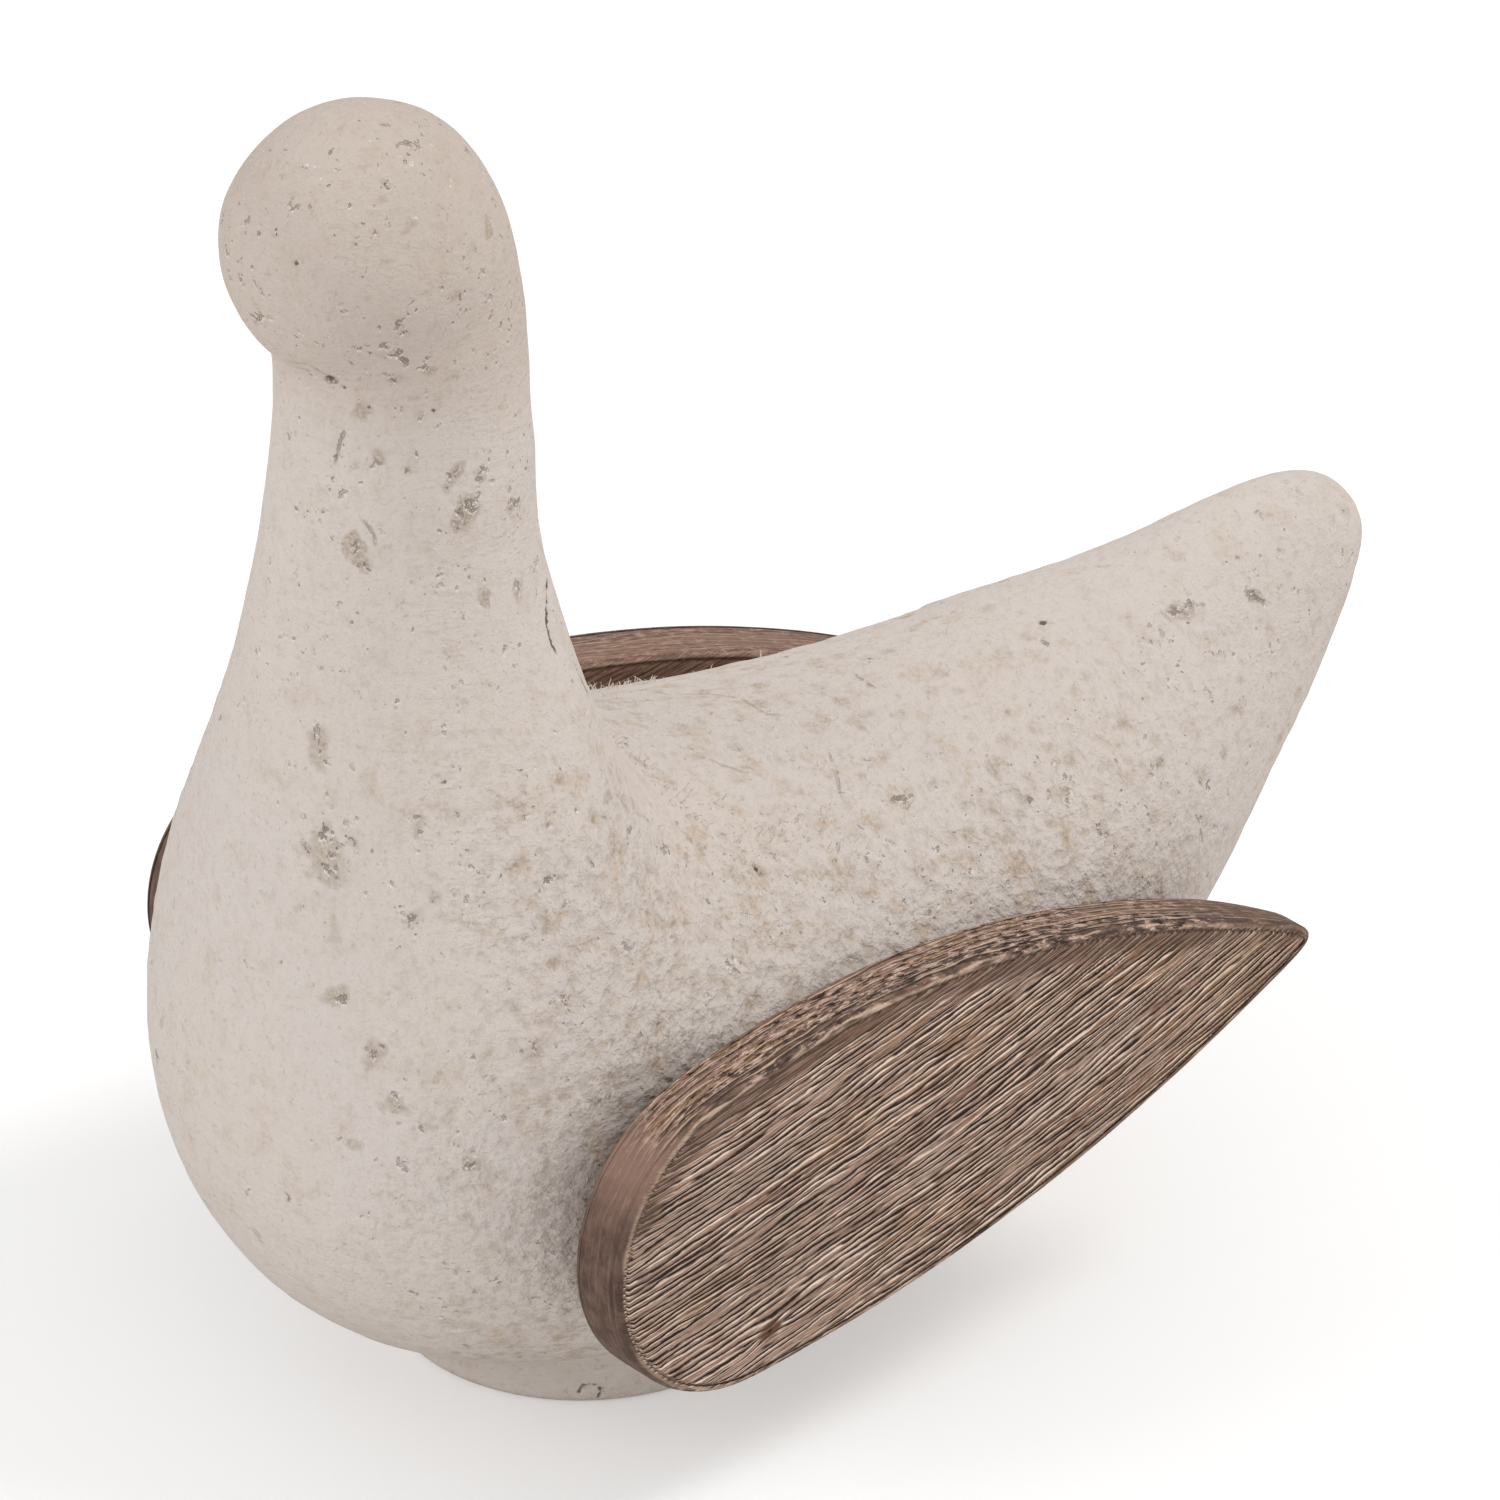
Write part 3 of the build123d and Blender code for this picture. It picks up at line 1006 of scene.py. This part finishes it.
def add_rim(board):
    """All rings, joined by quads. The first and the last one border the two faces."""
    rings = [add_ring(board, inset, through) for inset, through in levels]
    for outer, inner in zip(rings, rings[1:]):
        for number in range(len(outline)):
            beside = (number + 1) % len(outline)
            board.shape.faces.new((outer[number], inner[number], inner[beside], outer[beside]))
    return rings[0], rings[-1]


print("rings of a rim:", len(levels))


# %% Net of a wing's face
def net_inside(border, along_step, across_step):
    """Net points inside a border, in rows that follow the grain, and the triangles that join all."""
    low, high = border.min(axis=0), border.max(axis=0)
    shape = [Vector(p) for p in border]
    rows = []
    for back in np.arange(low[0], high[0], along_step):
        for across in np.arange(low[1] - grain_rise(high[0]), high[1], across_step):
            rows.append((back, across + grain_rise(back)))
    rows = np.array(rows)
    ahead = np.roll(border, -1, axis=0)
    inside = np.zeros(len(rows), bool)
    gap = np.full(len(rows), 99.0)
    for here, there in zip(border, ahead):
        spans = (here[1] > rows[:, 1]) != (there[1] > rows[:, 1])
        with np.errstate(divide="ignore", invalid="ignore"):
            meets = (there[0] - here[0]) * (rows[:, 1] - here[1]) / (there[1] - here[1]) + here[0]
        inside ^= spans & (rows[:, 0] < meets)
        gap = np.minimum(gap, np.linalg.norm(rows - here, axis=1))
    rows = rows[inside & (gap > 0.3)]
    joined = shape + [Vector(p) for p in rows]
    count = len(border)
    ring = [(n, (n + 1) % count) for n in range(count)]
    made = geometry.delaunay_2d_cdt(joined, ring, [], 1, 1e-5)
    return [tuple(p) for p in made[0]], made[2]


net_along = 0.8
outer_across = 0.22
inner_across = 0.5
border = outline - outward * bend[0][0]
outer_net = net_inside(border, net_along, outer_across)
inner_net = net_inside(border, net_along, inner_across)
print("points of a net:", len(outer_net[0]), "outside,", len(inner_net[0]), "inside")

# %% Faces of a board
# Towards its border a face is brushed less deep, and it takes on the wear of the nearest edge.
groove_depth = 0.24
border_finder = kdtree.KDTree(len(border))
for number, spot in enumerate(border):
    border_finder.insert((*spot, 0), number)
border_finder.balance()


def add_face(board, ring, through, net, way):
    """One face inside its ring of the rim. Its grooves sink the given way."""
    places, triangles = net
    corners = list(ring)
    for back, up in places[len(outline):]:
        vertex = add_point(board, back, up, through)
        _, nearest, inside = border_finder.find((back, up, 0))
        for name, share in (("fray", 1), ("worn", 1 - ease(inside, 0, 6))):
            vertex[board.held[name]] = ring[nearest][board.held[name]] * share
        depth = groove_depth * min(1, 0.3 + inside / 2)
        vertex.co.z += way * depth * brush_depth(vertex[board.held["phase"]], back, board.seed)
        corners.append(vertex)
    for triangle in triangles:
        board.shape.faces.new([corners[n] for n in (triangle if way < 0 else reversed(triangle))])


print("grooves are up to", groove_depth, "mm deep")


# %% Put the wings on the bird
def wing_object(side, seed, knot, edge_fray):
    """One wing with real grooves, in its place on the bird."""
    board = new_board(seed, knot, edge_fray)
    outer_ring, inner_ring = add_rim(board)
    add_face(board, outer_ring, wing_thickness, outer_net, -1)
    add_face(board, inner_ring, 0.0, inner_net, 1)
    mesh = mesh_from(board.shape, f"{side}_wing_board")
    mirror = 1 if side == "left" else -1
    rise = 0.0 if side == "left" else right_wing_lift
    backwards = Vector((-math.sin(wing_toe), math.cos(wing_toe), 0))
    outwards = Vector((math.cos(wing_toe), math.sin(wing_toe), 0))
    local = read_points(mesh, "co") * mm
    world = np.outer(local[:, 0], backwards) + np.outer(local[:, 2], outwards)
    world += np.outer(local[:, 1], (0, 0, 1)) + np.array((wing_seat, 0, rise * mm))
    world[:, 0] *= mirror
    mesh.vertices.foreach_set("co", world.astype(np.float32).ravel())
    if mirror < 0:
        mesh.flip_normals()
    mesh.shade_smooth()
    mesh.update()
    piece = new_object(mesh.name, mesh)
    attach(piece, "root")
    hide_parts(f"{side}_wing")
    print(mesh.name, len(mesh.vertices), "points")
    return piece


left_knot = Vector((-8.5, 27.5))
right_knot = Vector((41.0, 52.0))
wings = [wing_object("left", 0.0, left_knot, 1.0), wing_object("right", 50.0, right_knot, 0.3)]

# %% [markdown]
# ## Weathered wood
# The brush left brown hollows and pale ridges, and a dark line beside each crest gives its groove
# painted shade as well. The colour follows the same grain that shaped the board: each point holds
# its place along, across and through the grain, and noise stretched along the first of these
# becomes streaks on the faces, lines along the edge and specks on the end.

# %% Wood finish
wood, wire, shader = new_finish("weathered_wood")
grain = wire.held("grain", "Vector")
back_place = wire.part(grain, "X")


def fine_lines(count, along, seed):
    """Thin pale crests and dark lines beside them, grain and painted shade; each breaks off on its own.
    """
    number = (count + 0.5).floor()
    own = wire.cloud(wire.place_at(number * 3.7, 0.0, seed + 3), 1.0, 1.0) - 0.5
    offset = count - number + 0.9 * own
    pale_part = wire.cloud(wire.place_at(along, number * 5.3, seed), 1.0, 3.0, 0.6)
    dark_part = wire.cloud(wire.place_at(along, number * 5.3, seed + 7), 1.0, 3.0, 0.6)
    pale = (offset.size() + 0.3 * own).rise(0.2, 0.07) * pale_part.rise(0.36, 0.48)
    dark = (offset - 0.27).size().rise(0.2, 0.08) * dark_part.rise(0.35, 0.49)
    return pale, dark


wave = wire.streaks(grain, 0.11, 0.5, 2.0)
jagged = wire.streaks(grain, 0.3, 1.3, 3.0, 0.6)
count = wire.held("phase") + 1.1 * (wave - 0.5) + 0.6 * (jagged - 0.5)
pale_lines, dark_lines = fine_lines(count, back_place * 0.09, 0.0)
thin_pale, thin_dark = fine_lines(2.1 * count, back_place * 0.12, 11.0)
threads = wire.streaks(grain, 0.14, 2.2, 3.0, 0.65)
mottle = wire.streaks(grain, 0.7, 1.5, 4.0, 0.7)
ropes = wire.streaks(grain, 0.05, 0.56, 2.0, 0.6)
brushed_side = wire.part(grain, "Z").rise(2.0, 6.0) * 0.8 + 0.2
bands = wire.streaks(grain, 0.035, 0.28, 3.0, 0.6)
worn = wire.streaks(grain, 0.06, 0.12, 2.0) + 0.16 * back_place.rise(30, -10)
face = wire.mixed(bands.rise(0.35, 0.65), colour(156, 116, 96), colour(132, 100, 82))
face = face.painted(1 - brushed_side, 150, 116, 98)
face = face.painted(ropes.rise(0.5, 0.66) * brushed_side * 0.5, 182, 154, 133)
face = face.painted(ropes.rise(0.47, 0.32) * brushed_side * 0.5, 99, 74, 60)
face = face.painted(threads.rise(0.5, 0.66) * brushed_side * 0.6, 194, 165, 143)
face = face.painted(threads.rise(0.46, 0.3) * brushed_side * 0.6, 80, 58, 46)
face = face.painted(mottle.rise(0.52, 0.66) * 0.4, 186, 156, 140)
face = face.painted(mottle.rise(0.47, 0.33) * 0.4, 92, 68, 55)
golden = wire.streaks(grain, 0.02, 0.2, 2.0) + 0.06 * back_place.rise(40, 90)
face = face.painted(golden.rise(0.5, 0.66) * 0.55, 148, 110, 74)
face = face.painted(worn.rise(0.5, 0.7) * 0.4, 178, 154, 140)
worn_held = wire.held("worn")
worn_edge = (worn_held + 1.1 * (ropes - 0.5) + 0.9 * (threads - 0.5)).rise(0.25, 0.7)
worn_edge = worn_edge * worn_held.rise(0.0, 0.3)
worn_colour = wire.mixed(threads.rise(0.4, 0.62), colour(94, 70, 57), colour(146, 114, 94))
face = wire.mixed(worn_edge * 0.75, face, worn_colour)
unworn = 1 - 0.75 * worn_edge
# Thin dark lines beside the crests: dark grain and painted shade.
face = face.painted(thin_dark * brushed_side * 0.65, 58, 41, 32)
face = face.painted(thin_pale * brushed_side * unworn * 0.6, 220, 192, 170)
patchy = wire.streaks(grain, 0.05, 0.26, 2.0).rise(0.34, 0.58)
# Dark lines beside the crests: the grooves' dark wood and painted shade.
face = face.painted(dark_lines * brushed_side * (0.4 + 0.6 * unworn), 44, 30, 22)
line_colour = wire.mixed(back_place.rise(62, 88) * 0.7, colour(246, 220, 200), colour(236, 206, 170))
face = wire.mixed(pale_lines * brushed_side * unworn * (0.7 + 0.3 * patchy), face, line_colour)
knot_distance = wire.held("knot") + 0.7 * (threads - 0.5)
face = face.painted(knot_distance.rise(1.9, 0.9) * 0.85, 104, 68, 38)
face = face.painted(knot_distance.rise(0.55, 0.2) * 0.8, 38, 24, 16)
print("nodes for the faces:", len(wood.node_tree.nodes))

# %% Edge of the board
# Round the front end the brush met the wood across its fibres, and the edge stayed dark and plain.
# Along the top it ran with them and left torn lines, crumbs and pale specks.
edge_place = wire.held("edge_place", "Vector")
fray_held = wire.held("fray")
rim_held = wire.held("rim")
round_place = wire.part(edge_place, "X")
through_place = wire.part(edge_place, "Y")
edge_wave = wire.streaks(edge_place, 0.07, 0.2, 3.0)
layers = through_place * 0.85 + 2.4 * (edge_wave - 0.5)
edge_pale, edge_dark = fine_lines(layers, round_place * 0.07, 3.0)
edge_bands = wire.streaks(edge_place, 0.03, 0.3, 3.0, 0.6)
crumbs = wire.streaks(edge_place, 0.4, 1.2, 4.0, 0.68)
crumbly = wire.streaks(edge_place, 0.05, 0.3, 2.0).rise(0.32, 0.5)
blotches = wire.cloud(edge_place, 3.2, 3.0, 0.6)
rim_drift = edge_bands * fray_held + blotches * (1 - fray_held)
rim = wire.mixed(rim_drift.rise(0.35, 0.65), colour(86, 66, 56), colour(110, 86, 74))
rim = rim.painted(worn_held * worn_held * 0.7, 156, 124, 109)
tanned = wire.streaks(edge_place, 0.03, 0.5, 3.0, 0.6).rise(0.48, 0.62)
rim = rim.painted(tanned * fray_held * 0.6, 168, 132, 98)
beside_face = through_place.rise(3.6, 6.8) + 1.6 * (edge_bands - 0.5)
dim = beside_face.rise(0.62, 0.85) * (0.4 + 0.6 * crumbs.rise(0.6, 0.4))
rim = rim.painted(dim * fray_held * 0.85, 68, 56, 48)
# Dark lines along the rim: dark grain and painted shade, like those on the faces.
rim = rim.painted(edge_dark * (0.03 + 0.6 * fray_held), 46, 35, 28)
rim = rim.painted(edge_pale * (0.05 + 0.65 * fray_held), 220, 190, 164)
rim = rim.painted(crumbs.rise(0.47, 0.39) * crumbly * fray_held, 46, 34, 28)
rim = rim.painted(crumbs.rise(0.54, 0.61) * crumbly * fray_held * 0.95, 220, 192, 174)
specks = wire.streaks(edge_place, 0.35, 1.5, 3.0, 0.65)
rim_specks = specks.rise(0.56, 0.66) * worn_held * worn_held * (0.25 + 0.5 * fray_held)
rim = rim.painted(rim_specks, 212, 178, 164)
front_dim = crumbs.rise(0.52, 0.38) * (1 - fray_held) * (1 - worn_held) * 0.5
rim = rim.painted(front_dim, 70, 53, 45)
rim = rim.painted(specks.rise(0.36, 0.28) * (0.15 + 0.5 * fray_held), 62, 46, 39)
# A thin pale line along the rounded edge by the face, mostly at the front, is a painted highlight.
arris = rim_held.rise(0.0, 0.2) * rim_held.rise(0.7, 0.35)
arris_highlight = edge_wave.rise(0.44, 0.56) * (0.55 - 0.3 * fray_held) * back_place.rise(60, 30)
rim = rim.painted(arris * arris_highlight, 200, 174, 152)
tone = wire.mixed(rim_held.rise(0.02, 0.4), face, rim)
feed(tone, shader, "Base Color")
same_all_over(shader, 0.84, 0.3)
face_relief = 0.25 * pale_lines - 0.25 * dark_lines + 0.15 * threads + 0.12 * mottle
rim_relief = (0.3 * edge_pale - 0.3 * edge_dark + 0.35 * crumbs * crumbly) * fray_held
relief = face_relief * (1 - rim_held) + rim_relief * rim_held
bump = wire.make("ShaderNodeBump", {}, {"Height": relief, "Distance": mm, "Strength": 1.0})
feed(bump, shader, "Normal")
for wing in wings:
    wing.data.materials.append(wood)
print("wood nodes:", len(wood.node_tree.nodes))

# %% [markdown]
# ## Dowels
# Two plain pegs hold each wing to the body. They are hidden inside, so the CAD solids are enough
# for their shape, and bare wood with a few faint lines is enough for their finish.

# %% Dowel finish
bare_wood, wire, shader = new_finish("dowel_wood")
place = wire.make("ShaderNodeTexCoord", {}, {}, "Object")
lines = wire.streaks(place, 60.0, 900.0, 3.0)
peg_colour = wire.mixed(lines.rise(0.3, 0.7), colour(176, 138, 96), colour(202, 168, 124))
feed(peg_colour, shader, "Base Color")
same_all_over(shader, 0.7)
dowels = [node for name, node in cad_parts.items() if name.endswith("dowel")]
for dowel in dowels:
    dowel.data.materials.clear()
    dowel.data.materials.append(bare_wood)
print("dowels:", len(dowels))

# %% [markdown]
# ## Table and light
# The figure stands on a plain white table under even studio light, so that no side falls dark.
# The table is a large sheet. A little of its brightness is seen only by the camera and by shiny or
# clear things, which keeps the background white without more light on the bird.

# %% Table
table_mesh = bpy.data.meshes.new("table")
reach = 30.0
corners = [(-reach, -reach, 0), (reach, -reach, 0), (reach, reach, 0), (-reach, reach, 0)]
table_mesh.from_pydata(corners, [], [(0, 1, 2, 3)])
table = new_object("table", table_mesh)
white, wire, shader = new_finish("white_table")
shader.inputs["Base Color"].default_value = (0.8, 0.8, 0.8, 1)
same_all_over(shader, 1.0, 0.0)


def ray_is(kind):
    """1 for a ray of this kind, and 0 for any other."""
    return wire.make("ShaderNodeLightPath", {}, {}, f"Is {kind} Ray")


seen = ray_is("Camera") + ray_is("Glossy") + ray_is("Transmission")
glow = wire.mixed(seen, (0, 0, 0, 1), (0.3, 0.3, 0.3, 1))
feed(glow, shader, "Emission Color")
shader.inputs["Emission Strength"].default_value = 1.0
table_mesh.materials.append(white)
print("table:", 2 * reach, "m wide")

# %% Light
world = bpy.data.worlds.new("studio")
bpy.context.scene.world = world
world.use_nodes = True
sky = world.node_tree.nodes["Background"]
sky.inputs["Color"].default_value = (1, 1, 1, 1)
sky.inputs["Strength"].default_value = 0.66


def soft_lamp(name, place, width, power, tint):
    """A square lamp that faces the middle of the bird."""
    lamp_data = bpy.data.lights.new(name, "AREA")
    lamp_data.size = width
    lamp_data.energy = power
    lamp_data.color = tint
    lamp = new_object(name, lamp_data)
    lamp.location = place
    lamp.rotation_euler = (Vector(place) - target).to_track_quat("Z", "Y").to_euler()


lamps = [
    ("left", (-0.5, -1.5, 0.9), 0.8, 7.4, (0.98, 0.99, 1.0)),
    ("above", (0.6, 1.0, 1.6), 0.6, 12.0, (1.0, 0.98, 0.96)),
    ("front", (1.3, -1.0, 0.25), 1.0, 3.5, (1.0, 0.99, 0.98)),
]
for lamp in lamps:
    soft_lamp(*lamp)
bpy.context.scene.view_settings.view_transform = "Standard"
print("lamps:", len(lamps))

# %% [markdown]
# ## Finish
# Last, the scene is brought up to date. The skin, the foot and the wings stand for solids.

# %% Finish
bpy.context.view_layer.update()
